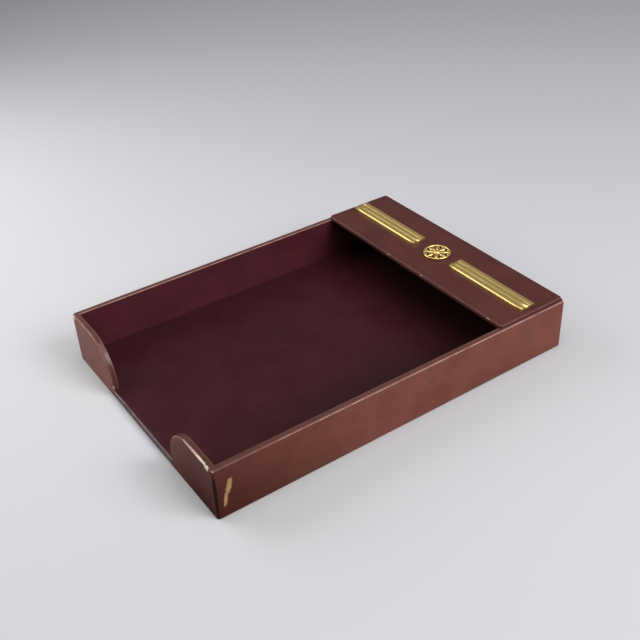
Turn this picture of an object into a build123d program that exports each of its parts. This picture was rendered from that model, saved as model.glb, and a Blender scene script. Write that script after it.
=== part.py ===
"""A leather-covered desk tray for papers.

Wall boards stand on a base board and are covered with leather outside and a lining inside. The front is open
between two returns whose tops run down in a quarter round. A fixed half deck lies on the walls at the back,
over an open compartment, and carries two reeded brass bars and an openwork brass rosette.

Millimetres. The origin is the centre of the tray's footprint on the desk, +X runs across the tray to the
right, +Y towards the back, +Z up.
"""
from build123d import *
import os

os.makedirs("parts", exist_ok=True)

# Outer size of the tray
tray_width = 250.0
tray_length = 350.0
wall_height = 48.0

# Thickness of each layer
leather = 0.8
lining = 0.7
floor_leather = 0.8
wall_board_thickness = 4.0
base_board_thickness = 4.8
pad_thickness = 1.2

# Rounding of the leather's edges
corner_radius = 3.0
top_radius = 1.5
inner_edge_radius = 0.5
base_edge_radius = 1.0

# Leather turned under the base, and the pad that lies inside it
hem_width = 12.0
pad_gap = 0.6

# Returns at the front
return_length = 71.5
return_radius = 34.0

# Deck over the back of the tray
deck_depth = 72.0
deck_setback = 2.0
deck_board_thickness = 2.2
deck_corner_radius = 3.0
deck_edge_radius = 1.3
deck_board_edge_radius = 0.5
deck_lining_thickness = 0.6
deck_turn_under = 10.0
deck_side_gap = 0.3
crease_inset = 5.5
crease_width = 1.0
crease_depth = 0.35

# Reeded bars
bar_length = 92.0
bar_end_inset = 5.5
bar_foot = 0.8
side_reed_width = 3.6
side_reed_rise = 1.4
middle_reed_width = 8.0
middle_reed_rise = 2.2
reed_gap = 0.4
bar_stud_radius = 1.0
bar_stud_inset = 14.0

# Rosette
rosette_radius = 13.0
rosette_ring_width = 1.8
rosette_plate = 1.8
rosette_edge_radius = 0.6
rosette_hub_radius = 3.4
rosette_hub_rise = 1.2
rosette_hub_rounding = 1.0
petal_count = 8
petal_overlap = 0.4
petal_width = 3.8

# Spring washers on the studs, sunk in the deck board
washer_radius = 3.0
washer_thickness = 0.6
washer_recess = 0.8
washer_side_gap = 0.2
stud_gap = 0.05

# Headless pins that hold the boards together
pin_radius = 0.7
pin_length = 16.0
pin_gap = 0.03
pin_set = 0.5
side_pin_count = 4
side_pin_pitch = 90.0
back_pin_count = 3
back_pin_pitch = 80.0
return_pin_count = 2
return_pin_pitch = 30.0
corner_pin_count = 2
corner_pin_pitch = 18.0

# Levels above the desk
base_low = pad_thickness
hem_low = base_low - leather
base_top = base_low + base_board_thickness
floor_top = base_top + floor_leather
board_top = wall_height - leather
deck_board_top = wall_height + deck_board_thickness
deck_top = deck_board_top + leather

# Planes of the walls, from the outside in, on the right and at the back
outer_x, outer_y = tray_width / 2, tray_length / 2
board_out_x, board_out_y = outer_x - leather, outer_y - leather
board_in_x, board_in_y = board_out_x - wall_board_thickness, board_out_y - wall_board_thickness
inner_x, inner_y = board_in_x - lining, board_in_y - lining
board_mid_x, board_mid_y = (board_out_x + board_in_x) / 2, (board_out_y + board_in_y) / 2
hem_in_x, hem_in_y = outer_x - hem_width, outer_y - hem_width
seam_x = outer_x - corner_radius
return_end_x = outer_x - return_length
return_mid_x = (return_end_x + board_in_x) / 2

# Deck outline, and the studs that pass through it
deck_x = outer_x - deck_setback
deck_back_y = outer_y - deck_setback
deck_front_y = deck_back_y - deck_depth
deck_mid_y = (deck_back_y + deck_front_y) / 2
bar_mid_x = deck_x - bar_end_inset - bar_length / 2
stud_reach = bar_length / 2 - bar_stud_inset
washer_low = wall_height + washer_recess - washer_thickness

# Places of the fasteners, on a level plane and on the outside of a side board
side_pins = GridLocations(2 * board_mid_x, side_pin_pitch, 2, side_pin_count)
back_pins = Pos(0, board_mid_y) * GridLocations(back_pin_pitch, 1, back_pin_count, 1)
right_return_pins = Pos(return_mid_x, -board_mid_y) * GridLocations(return_pin_pitch, 1, return_pin_count, 1)
left_return_pins = Pos(-return_mid_x, -board_mid_y) * GridLocations(return_pin_pitch, 1, return_pin_count, 1)
base_pin_places = [*side_pins, *back_pins, *right_return_pins, *left_return_pins]
corner_pin_places = list(GridLocations(2 * board_mid_y, corner_pin_pitch, 2, corner_pin_count))
stud_places = [Pos(x, deck_mid_y) for x in (bar_mid_x - stud_reach, bar_mid_x + stud_reach)]
stud_places += [Pos(-place.position.X, deck_mid_y) for place in stud_places]
stud_places.append(Pos(0, deck_mid_y))


def block(x_span, y_span, z_span, mode=Mode.ADD):
    """A box between the two values of each span, in the part that is open."""
    low, high = zip(x_span, y_span, z_span)
    middle = tuple((a + b) / 2 for a, b in zip(low, high))
    with Locations(middle):
        Box(high[0] - low[0], high[1] - low[1], high[2] - low[2], mode=mode)


def base_pin_rods(radius):
    """Upright rods from the base board's underside into the walls."""
    with BuildPart() as rods:
        with BuildSketch(Plane.XY.offset(base_low)):
            with Locations(*base_pin_places):
                Circle(radius)
        extrude(amount=pin_length)
    return rods.part


def corner_pin_rods(radius, depth):
    """Level rods from a depth inside both side boards into the boards that end there."""
    with BuildPart() as rods:
        for side in (1, -1):
            middle = (side * (board_out_x - depth), 0, (base_top + board_top) / 2)
            with BuildSketch(Plane(origin=middle, x_dir=(0, side, 0), z_dir=(side, 0, 0))):
                with Locations(*corner_pin_places):
                    Circle(radius)
            extrude(amount=depth - pin_set - pin_length)
    return rods.part


def wrap_form(inset):
    """The closed outer form of the tray up to the wall tops, drawn in by inset on every side."""
    with BuildPart() as form:
        with BuildSketch(Plane.XY.offset(hem_low + inset)):
            RectangleRounded(tray_width - 2 * inset, tray_length - 2 * inset, corner_radius - inset)
        extrude(amount=wall_height - hem_low - 2 * inset)
        fillet(form.faces().sort_by(Axis.Z)[-1].edges(), radius=top_radius - inset)
    return form.part


def return_form(inset, outer_end, back, front, front_radius, back_radius=0):
    """The right return on the base board, from a depth behind the front to one nearer to it.

    Its top and its free end are drawn in by inset, and the edges along them are rounded.
    """
    end, top = return_end_x + inset, wall_height - inset
    centre_x, centre_z = return_end_x + return_radius, wall_height - return_radius
    with BuildPart() as form:
        with BuildSketch(Plane.XZ.offset(back)):
            with BuildLine():
                Line((outer_end, top), (centre_x, top))
                CenterArc((centre_x, centre_z), return_radius - inset, 90, 90)
                Polyline((end, centre_z), (end, base_top), (outer_end, base_top), (outer_end, top))
            make_face()
        extrude(amount=front - back)
        for place, radius in ((0, front_radius), (-1, back_radius)):
            if radius:
                rim = form.faces().sort_by(Axis.Y)[place].edges()
                fillet(rim.sort_by(Axis.Z)[1:].sort_by(Axis.X)[:-1], radius=radius)
    return form.part


def deck_form(inset, top, edge_radius):
    """A slab of the deck's outline on the wall tops, drawn in by inset, with its top edge rounded."""
    with BuildPart() as form:
        with BuildSketch(Plane((0, deck_mid_y, wall_height))):
            RectangleRounded(2 * (deck_x - inset), deck_depth - 2 * inset, deck_corner_radius - inset)
        extrude(amount=top - wall_height)
        fillet(form.faces().sort_by(Axis.Z)[-1].edges(), radius=edge_radius)
    return form.part


def stud_rods(radius, low, high):
    """Upright rods at every stud between two levels."""
    with BuildPart() as rods:
        with BuildSketch(Plane.XY.offset(low)):
            with Locations(*stud_places):
                Circle(radius)
        extrude(amount=high - low)
    return rods.part


# Pins in the boards, and the bores that they sit in
base_pin_bores = base_pin_rods(pin_radius + pin_gap)
corner_pin_bores = corner_pin_rods(pin_radius + pin_gap, 0)

with BuildPart() as base_pins:
    add(base_pin_rods(pin_radius))

with BuildPart() as corner_pins:
    add(corner_pin_rods(pin_radius, pin_set))

# Base board, under all the walls
core_form = wrap_form(leather)

with BuildPart() as base_board:
    add(core_form)
    block((-outer_x, outer_x), (-outer_y, outer_y), (base_low, base_top), Mode.INTERSECT)
    add(base_pin_bores, mode=Mode.SUBTRACT)

# Side boards over the whole length, and the back board between them
with BuildPart() as right_side_board:
    add(core_form)
    block((board_in_x, outer_x), (-outer_y, outer_y), (base_top, wall_height), Mode.INTERSECT)
    add(base_pin_bores, mode=Mode.SUBTRACT)
    add(corner_pin_bores, mode=Mode.SUBTRACT)

with BuildPart() as left_side_board:
    mirror(right_side_board.part, about=Plane.YZ)

with BuildPart() as back_board:
    add(core_form)
    block((-board_in_x, board_in_x), (board_in_y, outer_y), (base_top, wall_height), Mode.INTERSECT)
    add(base_pin_bores, mode=Mode.SUBTRACT)
    add(corner_pin_bores, mode=Mode.SUBTRACT)

# Boards of the returns
return_core = return_form(leather, board_in_x, board_in_y, board_out_y, top_radius - leather)

with BuildPart() as right_return_board:
    add(return_core)
    add(base_pin_bores, mode=Mode.SUBTRACT)
    add(corner_pin_bores, mode=Mode.SUBTRACT)

with BuildPart() as left_return_board:
    mirror(right_return_board.part, about=Plane.YZ)

# Pad under the base, inside the turned-under leather
with BuildPart() as base_pad:
    with BuildSketch():
        RectangleRounded(2 * (hem_in_x - pad_gap), 2 * (hem_in_y - pad_gap), corner_radius)
    extrude(amount=pad_thickness)

# One skin round the walls, turned over their tops and under the base
outer_form = wrap_form(0)

with BuildPart() as wall_skin:
    add(outer_form)
    block((-inner_x, inner_x), (-inner_y, inner_y), (base_top, wall_height), Mode.SUBTRACT)
    fillet(wall_skin.faces().sort_by(Axis.Z)[-1].inner_wires()[0].edges(), radius=inner_edge_radius)
    add(core_form, mode=Mode.SUBTRACT)
    block((-hem_in_x, hem_in_x), (-hem_in_y, hem_in_y), (hem_low, base_low), Mode.SUBTRACT)

# The right side's share of that skin: its wall with both corners, its top edge and its hem
with BuildPart() as right_share:
    block((seam_x, outer_x), (-outer_y, outer_y), (hem_low, wall_height))
    block((inner_x, outer_x), (-outer_y, outer_y), (board_top, wall_height))
    block((hem_in_x, outer_x), (-board_out_y, board_out_y), (hem_low, base_low))

with BuildPart() as left_share:
    mirror(right_share.part, about=Plane.YZ)

with BuildPart() as right_side_leather:
    add(wall_skin.part)
    add(right_share.part, mode=Mode.INTERSECT)

with BuildPart() as left_side_leather:
    mirror(right_side_leather.part, about=Plane.YZ)

with BuildPart() as back_leather:
    add(wall_skin.part)
    block((-outer_x, outer_x), (0, outer_y), (hem_low, wall_height), Mode.INTERSECT)
    add(right_share.part, mode=Mode.SUBTRACT)
    add(left_share.part, mode=Mode.SUBTRACT)

# Leather of the returns, turned over the curved edge, down over the base's front and under it
return_hollow = return_form(leather, outer_x, inner_y, board_out_y, top_radius - leather)

with BuildPart() as right_return_leather:
    add(return_form(0, seam_x, inner_y, outer_y, top_radius, inner_edge_radius))
    add(return_hollow, mode=Mode.SUBTRACT)
    block((return_end_x, seam_x), (-outer_y, -board_out_y), (hem_low, base_top))
    block((return_end_x, hem_in_x), (-board_out_y, -hem_in_y), (hem_low, base_low))
    add(right_share.part, mode=Mode.SUBTRACT)

with BuildPart() as left_return_leather:
    mirror(right_return_leather.part, about=Plane.YZ)

# Linings of the walls
with BuildPart() as right_side_lining:
    block((inner_x, board_in_x), (-board_in_y, board_in_y), (base_top, board_top))

with BuildPart() as left_side_lining:
    mirror(right_side_lining.part, about=Plane.YZ)

with BuildPart() as back_lining:
    block((-inner_x, inner_x), (inner_y, board_in_y), (base_top, board_top))

with BuildPart() as right_return_lining:
    add(return_form(leather, inner_x, inner_y, board_in_y, 0))

with BuildPart() as left_return_lining:
    mirror(right_return_lining.part, about=Plane.YZ)

# Floor leather, turned down over the base's front edge between the returns
with BuildPart() as floor_lining:
    block((-inner_x, inner_x), (-inner_y, inner_y), (base_top, floor_top))
    block((-return_end_x, return_end_x), (-outer_y, -inner_y), (base_top, floor_top))
    block((-return_end_x, return_end_x), (-outer_y, -board_out_y), (hem_low, base_top))
    block((-return_end_x, return_end_x), (-board_out_y, -hem_in_y), (hem_low, base_low))
    front_rim = floor_lining.edges().filter_by(Axis.X).group_by(Axis.Y)[0].sort_by(Axis.Z)[-1]
    fillet(front_rim, radius=base_edge_radius)

# Deck board, with a bore for each stud and a recess for its washer
stud_bores = stud_rods(bar_stud_radius + stud_gap, wall_height, deck_top)
deck_core = deck_form(leather, deck_board_top, deck_board_edge_radius)

with BuildPart() as deck_board:
    add(deck_core)
    add(stud_bores, mode=Mode.SUBTRACT)
    add(stud_rods(washer_radius + washer_side_gap, wall_height, wall_height + washer_recess), mode=Mode.SUBTRACT)

# Deck leather, turned under at the front, with a tooled crease line inside its edge
with BuildPart() as deck_leather:
    add(deck_form(0, deck_top, deck_edge_radius))
    add(deck_core, mode=Mode.SUBTRACT)
    turn_x = inner_x - deck_side_gap
    block((-turn_x, turn_x), (deck_front_y, deck_front_y + deck_turn_under), (board_top, wall_height))
    add(stud_bores, mode=Mode.SUBTRACT)
    with BuildSketch(Plane((0, deck_mid_y, deck_top))):
        for edge, mode in ((crease_inset, Mode.ADD), (crease_inset + crease_width, Mode.SUBTRACT)):
            RectangleRounded(2 * (deck_x - edge), deck_depth - 2 * edge, deck_corner_radius, mode=mode)
    extrude(amount=-crease_depth, mode=Mode.SUBTRACT)

# Lining under the deck, behind the turned-under leather
with BuildPart() as deck_lining:
    lining_y = (deck_front_y + deck_turn_under, inner_y)
    block((-turn_x, turn_x), lining_y, (wall_height - deck_lining_thickness, wall_height))

# Reeded bars, each with its two studs
bar_width = 2 * side_reed_width + middle_reed_width + 2 * reed_gap
bar_origin = (bar_mid_x - bar_length / 2, deck_mid_y, deck_top)
side_reed_in = bar_width / 2 - side_reed_width

with BuildPart() as right_reeded_bar:
    with BuildSketch(Plane(origin=bar_origin, x_dir=(0, 1, 0), z_dir=(1, 0, 0))):
        Rectangle(bar_width, bar_foot, align=(Align.CENTER, Align.MIN))
        for near, far, rise in (
            (-bar_width / 2, -side_reed_in, side_reed_rise),
            (-middle_reed_width / 2, middle_reed_width / 2, middle_reed_rise),
            (side_reed_in, bar_width / 2, side_reed_rise),
        ):
            with BuildLine():
                Line((near, bar_foot), (far, bar_foot))
                ThreePointArc((far, bar_foot), ((near + far) / 2, bar_foot + rise), (near, bar_foot))
            make_face()
    extrude(amount=bar_length)
    with BuildSketch(Plane.XY.offset(washer_low)):
        with Locations(*stud_places[:2]):
            Circle(bar_stud_radius)
    extrude(amount=deck_top - washer_low)

with BuildPart() as left_reeded_bar:
    mirror(right_reeded_bar.part, about=Plane.YZ)

# Openwork rosette: a ring, petals and a domed hub, with one stud
rosette_inner_radius = rosette_radius - rosette_ring_width
petal_length = rosette_inner_radius - rosette_hub_radius + 2 * petal_overlap
petal_mid = (rosette_inner_radius + rosette_hub_radius) / 2

with BuildPart() as rosette:
    with BuildSketch(Plane((0, deck_mid_y, deck_top))):
        Circle(rosette_radius)
        Circle(rosette_inner_radius, mode=Mode.SUBTRACT)
        Circle(rosette_hub_radius)
        with PolarLocations(petal_mid, petal_count):
            Ellipse(petal_length / 2, petal_width / 2)
    extrude(amount=rosette_plate)
    rim = rosette.faces().sort_by(Axis.Z)[-1].outer_wire().edges()
    fillet(rim, radius=rosette_edge_radius)
    with BuildSketch(Plane((0, deck_mid_y, deck_top))):
        Circle(rosette_hub_radius)
    extrude(amount=rosette_plate + rosette_hub_rise)
    fillet(rosette.faces().sort_by(Axis.Z)[-1].edges(), radius=rosette_hub_rounding)
    with BuildSketch(Plane((0, deck_mid_y, washer_low))):
        Circle(bar_stud_radius)
    extrude(amount=deck_top - washer_low)

# Spring washers that hold the studs
with BuildPart() as stud_washers:
    add(stud_rods(washer_radius, washer_low, washer_low + washer_thickness))
    add(stud_rods(bar_stud_radius + pin_gap, washer_low, washer_low + washer_thickness), mode=Mode.SUBTRACT)

pieces = {
    "base_board": base_board,
    "left_side_board": left_side_board,
    "right_side_board": right_side_board,
    "back_board": back_board,
    "left_return_board": left_return_board,
    "right_return_board": right_return_board,
    "deck_board": deck_board,
    "base_pins": base_pins,
    "corner_pins": corner_pins,
    "base_pad": base_pad,
    "left_side_leather": left_side_leather,
    "right_side_leather": right_side_leather,
    "back_leather": back_leather,
    "left_return_leather": left_return_leather,
    "right_return_leather": right_return_leather,
    "left_side_lining": left_side_lining,
    "right_side_lining": right_side_lining,
    "back_lining": back_lining,
    "left_return_lining": left_return_lining,
    "right_return_lining": right_return_lining,
    "floor_lining": floor_lining,
    "deck_leather": deck_leather,
    "deck_lining": deck_lining,
    "left_reeded_bar": left_reeded_bar,
    "right_reeded_bar": right_reeded_bar,
    "rosette": rosette,
    "stud_washers": stud_washers,
}

for name, piece in pieces.items():
    piece.part.label = name
    export_step(piece.part, f"parts/{name}.step")
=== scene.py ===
from math import cos, pi, radians, sin

import bmesh
import bpy
from bpy.props import FloatProperty, FloatVectorProperty, IntProperty, PointerProperty
from mathutils import Matrix, Vector, noise


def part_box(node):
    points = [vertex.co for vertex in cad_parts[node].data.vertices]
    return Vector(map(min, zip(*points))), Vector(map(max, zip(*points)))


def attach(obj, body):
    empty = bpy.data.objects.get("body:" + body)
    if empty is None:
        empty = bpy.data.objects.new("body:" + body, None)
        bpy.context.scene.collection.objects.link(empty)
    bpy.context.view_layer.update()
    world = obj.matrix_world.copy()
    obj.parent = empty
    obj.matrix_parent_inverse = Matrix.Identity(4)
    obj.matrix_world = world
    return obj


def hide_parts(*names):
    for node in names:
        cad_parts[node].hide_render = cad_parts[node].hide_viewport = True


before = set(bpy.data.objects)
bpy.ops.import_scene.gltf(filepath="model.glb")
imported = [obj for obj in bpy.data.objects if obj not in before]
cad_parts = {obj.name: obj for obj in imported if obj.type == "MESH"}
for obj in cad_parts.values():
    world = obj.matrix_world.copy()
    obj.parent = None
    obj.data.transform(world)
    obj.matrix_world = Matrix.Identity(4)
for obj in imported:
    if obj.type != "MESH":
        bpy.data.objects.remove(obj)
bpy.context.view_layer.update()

bl_info = {
    "name": "Leather Desk Tray",
    "version": (1, 0, 0),
    "blender": (4, 5, 0),
    "location": "View3D > Sidebar > Desk Tray",
    "description": "Builds the leather, brass and studio of a desk tray round its frame",
    "category": "Object",
}

# Planes of the tray, read from the frame, in metres
WALL_LOW, WALL_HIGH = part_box("right_side_leather")
DECK_LOW, DECK_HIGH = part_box("deck_leather")
BAR_LOW, BAR_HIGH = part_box("right_reeded_bar")
ROSETTE_LOW, ROSETTE_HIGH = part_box("rosette")

OUTER_X, OUTER_Y, WALL_TOP = WALL_HIGH
HEM_LOW = WALL_LOW[2]
INNER_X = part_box("right_side_lining")[0][0]
WALL_WIDTH = OUTER_X - INNER_X
INNER_Y = OUTER_Y - WALL_WIDTH
HEM_WIDTH = OUTER_X - WALL_LOW[0]
BASE_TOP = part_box("base_board")[1][2]
FLOOR_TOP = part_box("floor_lining")[1][2]
RETURN_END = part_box("right_return_leather")[0][0]
BOARD_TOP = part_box("deck_board")[1][2]
DECK_X, DECK_BACK, DECK_TOP = DECK_HIGH
DECK_FRONT = DECK_LOW[1]
DECK_MID_Y = (DECK_FRONT + DECK_BACK) / 2
DECK_HALF_Y = (DECK_BACK - DECK_FRONT) / 2
LEATHER = DECK_TOP - BOARD_TOP

# Small lengths that no setting changes, in metres
DEGENERATE = 1e-6
SLIVER = 1e-5
LEAST_FOLD = 5e-5
STUD_RADIUS = 0.001
STUD_INSET = 0.014
DECK_TURN_DEPTH = 0.01
DECK_TURN_BEVEL = 0.00025
PANEL_INSET = 0.004
SPINE_HALF_WIDTH = 0.001
STUD_LAP = 0.0003
DECK_CLEARANCE = 0.0003
TARNISH_HEIGHT = 0.0012
NIBBLE_DEPTH = 0.00025
NIBBLE_LENGTH = 0.006

# Rim values, which say how leather looks: worn where above nought, and near one also painted with a
# highlight line; darker where below it, as a darker tone on the tops and as painted shade in the deck's
# tooled groove
TOP_DARKENING = -0.55
# Painted shade in the groove of the deck's tooled line
LINE_SHADE = -0.55
FLOOR_HEM_WEAR = 0.5
HEM_WEAR = 0.6
# Inner top edges: wear and a painted highlight line
FULL_WEAR_AND_HIGHLIGHT = 1.0


def length(name, text, default):
    """A size in metres."""
    return FloatProperty(name=name, description=text, default=default, min=0.0, unit="LENGTH")


def colour(name, text, default):
    """A colour, in linear values."""
    return FloatVectorProperty(
        name=name, description=text, default=(*default, 1.0), size=4, subtype="COLOR", min=0, max=1
    )


class TraySizes(bpy.types.PropertyGroup):
    """Sizes that shape the tray's leather and brass."""

    corner_radius: length("Corner radius", "Rounding of the tray's upright corners", 0.003)
    top_edge: length("Top edge radius", "Rounding along the outside of the wall tops", 0.0017)
    inner_edge: length("Inner edge radius", "Rounding along the inside of the wall tops", 0.0008)
    return_edge: length("Return edge radius", "Rounding along the front of the returns' tops", 0.0017)
    hem_edge: length("Hem radius", "Rounding where the leather turns under the base", 0.0005)
    floor_edge: length("Floor edge radius", "Rounding of the floor leather over the base's front", 0.001)
    return_radius: length("Return radius", "Radius of the quarter round on the front returns", 0.034)
    deck_edge: length("Deck edge radius", "Rounding of the deck's upper edge", 0.0013)
    deck_corner: length("Deck corner radius", "Rounding of the deck's corners in plan", 0.003)
    crease_inset: length("Crease inset", "Distance from the deck's edge to its tooled line", 0.0052)
    crease_width: length("Crease width", "Width of the tooled line", 0.0018)
    crease_depth: length("Crease depth", "Depth of the tooled line", 0.0005)
    waviness: length("Waviness", "How far the glued leather wanders from a true plane", 0.00012)
    bar_shoulder: length("Bar shoulder", "Height of the rounded front and back of the bars", 0.0015)
    reed_rise: length("Reed rise", "Height of each reed above its groove", 0.0010)
    groove_depth: length("Groove depth", "Depth of the slit between two reeds", 0.0008)
    bar_bevel: length("Bar bevel", "Softening of the bars' ends", 0.0004)
    petal_rise: length("Petal rise", "How far the rosette's petals stand up", 0.0012)
    ring_width: length("Ring width", "Thickness of the rosette's ring", 0.0019)
    petal_length: length("Petal length", "Length of each of the rosette's petals", 0.0086)
    petal_width: length("Petal width", "Width of each of the rosette's petals", 0.0042)
    hub_radius: length("Hub radius", "Radius of the rosette's hub", 0.0034)
    petal_count: IntProperty(name="Petals", description="Number of petals", default=8, min=3, max=24)


class TrayColours(bpy.types.PropertyGroup):
    """Colours of the tray's finishes."""

    wall: colour("Wall leather", "Oxblood leather outside the walls", (0.180, 0.059, 0.045))
    deck: colour("Deck leather", "Burgundy leather on the deck", (0.079, 0.0235, 0.020))
    lining: colour("Lining leather", "Wine leather inside the walls", (0.082, 0.017, 0.024))
    floor: colour("Floor leather", "Dark wine leather on the floor", (0.036, 0.007, 0.011))
    # Darker tone of the wall and return tops; painted shade in the deck's tooled groove, on the floor by
    # the right wall and under the deck, and on the right wall's lining; painted reflection and shade down
    # the front right corner
    dark_tone_and_shade: colour("Dark dye", "Dye gathered in creases and corners", (0.018, 0.006, 0.006))
    # Painted shade on the right side and the right return's front, darker towards the front right corner
    # and the bottom
    painted_shade: colour("Deep dye", "Leather darkened by handling", (0.050, 0.011, 0.009))
    # The polished-edge colour also paints a highlight line along the crowns of the rounded edges of the
    # wall tops and the deck
    edge: colour("Polished edge", "Leather rubbed thin along its folds", (0.45, 0.32, 0.27))
    # The rubbed colour also paints pale spots on the deck's front edge, partly wear and partly painted
    # highlights
    rubbed: colour("Rubbed leather", "Tan where the dye has worn away", (0.38, 0.22, 0.10))
    # The bared colour also paints highlights on the back right top corner and the deck's front left corner
    bared_and_highlight: colour("Bared leather", "Pale fibre where the surface is gone", (0.70, 0.60, 0.47))
    brass: colour("Brass", "Polished yellow brass", (0.80, 0.505, 0.120))
    tarnish: colour("Tarnish", "Brown tarnish in the grooves", (0.25, 0.15, 0.04))
    felt: colour("Felt", "Dark felt under the base", (0.05, 0.022, 0.024))
    cloth: colour("Lining cloth", "Matte cloth under the deck", (0.045, 0.016, 0.020))
    board: colour("Fibreboard", "Bare board inside the leather", (0.46, 0.33, 0.21))
    steel: colour("Steel", "Bright steel of pins and washers", (0.55, 0.55, 0.57))
    stage: colour("Stage", "Pale studio floor", (0.52, 0.52, 0.535))


# Mesh making

def spread(start, end, count):
    """Values from start to end, both included."""
    return [start + (end - start) * i / (count - 1) for i in range(count)]


def wander(point, reach, size=0.035):
    """A smooth, repeatable depth between nought and reach at a point."""
    return reach * 0.5 * (1 + noise.noise(Vector(point) / size))


def open_mesh():
    """A new bmesh whose points carry a rim value."""
    mesh_data = bmesh.new()
    mesh_data.verts.layers.float.new("rim")
    return mesh_data


def add_rows(mesh_data, rows, rims):
    """The points of each row, with the row's rim value."""
    layer = mesh_data.verts.layers.float["rim"]
    grid = [[mesh_data.verts.new(point) for point in row] for row in rows]
    for row, rim in zip(grid, rims):
        for vert in row:
            vert[layer] = rim
    return grid


def add_shell(mesh_data, outer, inner, outer_rims):
    """A sheet with thickness between two sets of rows, closed along all its edges."""
    grid = add_rows(mesh_data, outer + inner[::-1], outer_rims + [0.0] * len(inner))
    count = len(grid)
    for i in range(count):
        near, far = grid[i], grid[(i + 1) % count]
        for a, b, c, d in zip(near, near[1:], far[1:], far):
            mesh_data.faces.new((a, b, c, d))
    for end in (0, -1):
        for i in range(len(outer) - 1):
            corners = (grid[i][end], grid[i + 1][end], grid[count - 2 - i][end], grid[count - 1 - i][end])
            mesh_data.faces.new(corners)


def add_rings(mesh_data, rings, rims):
    """A solid through closed rings, filled at both ends."""
    grid = add_rows(mesh_data, rings, rims)
    for low, high in zip(grid, grid[1:]):
        for i in range(len(low)):
            j = (i + 1) % len(low)
            mesh_data.faces.new((low[i], low[j], high[j], high[i]))
    mesh_data.faces.new(grid[0])
    mesh_data.faces.new(grid[-1])


def add_slab(mesh_data, low, high, bevel=0.0):
    """A slab between two corners, with flat bevels where one is asked for."""
    made = bmesh.ops.create_cube(mesh_data, size=1.0)["verts"]
    for vert in made:
        vert.co = Vector([b if c > 0 else a for a, b, c in zip(low, high, vert.co)])
    if bevel:
        edges = {edge for vert in made for edge in vert.link_edges}
        bmesh.ops.bevel(mesh_data, geom=list(edges), offset=bevel, segments=1, affect="EDGES")


def add_rod(mesh_data, x, y, radius, low, high, sides=20):
    """An upright rod between two heights."""
    turns = [2 * pi * i / sides for i in range(sides)]
    rings = [[(x + radius * cos(a), y + radius * sin(a), z) for a in turns] for z in (low, high)]
    add_rings(mesh_data, rings, [0.0, 0.0])


def finish_mesh(name, mesh_data, smooth_angle=40):
    """A new object from a bmesh, with merged doubles, outward faces and sharp edges kept sharp."""
    bmesh.ops.remove_doubles(mesh_data, verts=mesh_data.verts, dist=DEGENERATE)
    bmesh.ops.dissolve_degenerate(mesh_data, edges=mesh_data.edges, dist=DEGENERATE)
    bmesh.ops.recalc_face_normals(mesh_data, faces=mesh_data.faces)
    for face in mesh_data.faces:
        face.smooth = True
    for edge in mesh_data.edges:
        if len(edge.link_faces) == 2 and edge.calc_face_angle(0) > radians(smooth_angle):
            edge.smooth = False
    mesh = bpy.data.meshes.new(name)
    mesh_data.to_mesh(mesh)
    mesh_data.free()
    piece = bpy.data.objects.new(name, mesh)
    bpy.context.scene.collection.objects.link(piece)
    return piece


def rounded_ring(middle, half_x, half_y, radius, z, corner_steps=6, side_steps=24):
    """Points round a rounded rectangle, evenly along each side."""
    points = []
    radius = max(radius, SLIVER)
    signs = ((1, 1), (-1, 1), (-1, -1), (1, -1))
    for quarter, (sx, sy) in enumerate(signs):
        centre = Vector((middle[0] + sx * (half_x - radius), middle[1] + sy * (half_y - radius)))
        for step in range(corner_steps + 1):
            angle = pi / 2 * (quarter + step / corner_steps)
            points.append(Vector((centre.x + radius * cos(angle), centre.y + radius * sin(angle), z)))
        nx, ny = signs[(quarter + 1) % 4]
        angle = pi / 2 * (quarter + 1)
        last = points[-1]
        turn = Vector((middle[0] + nx * (half_x - radius), middle[1] + ny * (half_y - radius), z))
        following = turn + Vector((radius * cos(angle), radius * sin(angle), 0))
        points += [last.lerp(following, step / side_steps) for step in range(1, side_steps)]
    return points


def ridge(angle):
    """Rim value round a fold, highest along its middle, where wear and a painted highlight line go."""
    return max(0.0, sin(2 * angle)) ** 0.5


def crown(angle, turn=radians(55)):
    """Rim value round a fold, from the face at nought over a line of wear and painted highlight to the
    darker top.
    """
    if angle > turn:
        return TOP_DARKENING * (angle - turn) / (pi / 2 - turn)
    return ridge(angle)


def wall_chain(sizes, depth):
    """Section of the wall leather from hem to well, at a depth: (inset, height, out, up, rim)."""
    low, high = HEM_LOW + depth, WALL_TOP - depth
    hem_radius = max(sizes.hem_edge - depth, LEAST_FOLD)
    top_radius = sizes.top_edge - depth
    chain = [(inset, low, 0, -1, 0.0) for inset in spread(HEM_WIDTH, depth + hem_radius, 5)[:-1]]
    for angle in spread(-pi / 2, 0, 5):
        inset, height = depth + hem_radius * (1 - cos(angle)), low + hem_radius * (1 + sin(angle))
        chain.append((inset, height, cos(angle), sin(angle), HEM_WEAR))
    for height in spread(low + hem_radius, high - top_radius, 16)[1:-1]:
        chain.append((depth, height, 1, 0, 0.0))
    for angle in spread(0, pi / 2, 8):
        inset, height = depth + top_radius * (1 - cos(angle)), high - top_radius * (1 - sin(angle))
        chain.append((inset, height, cos(angle), sin(angle), crown(angle)))
    lip = WALL_WIDTH - sizes.inner_edge
    chain += [(inset, high, 0, 1, TOP_DARKENING) for inset in spread(depth + top_radius, lip, 6)[1:]]
    if depth:
        chain += [(inset, high, 0, 1, 0.0) for inset in spread(lip, WALL_WIDTH - SLIVER, 6)[1:]]
    else:
        for angle in spread(pi / 2, pi, 5)[1:]:
            height = high - sizes.inner_edge * (1 - sin(angle))
            inset = lip - sizes.inner_edge * cos(angle)
            chain.append((inset, height, cos(angle), sin(angle), FULL_WEAR_AND_HIGHLIGHT))
        chain.append((WALL_WIDTH, WALL_TOP - LEATHER, -1, 0, FULL_WEAR_AND_HIGHLIGHT))
    return chain


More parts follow.
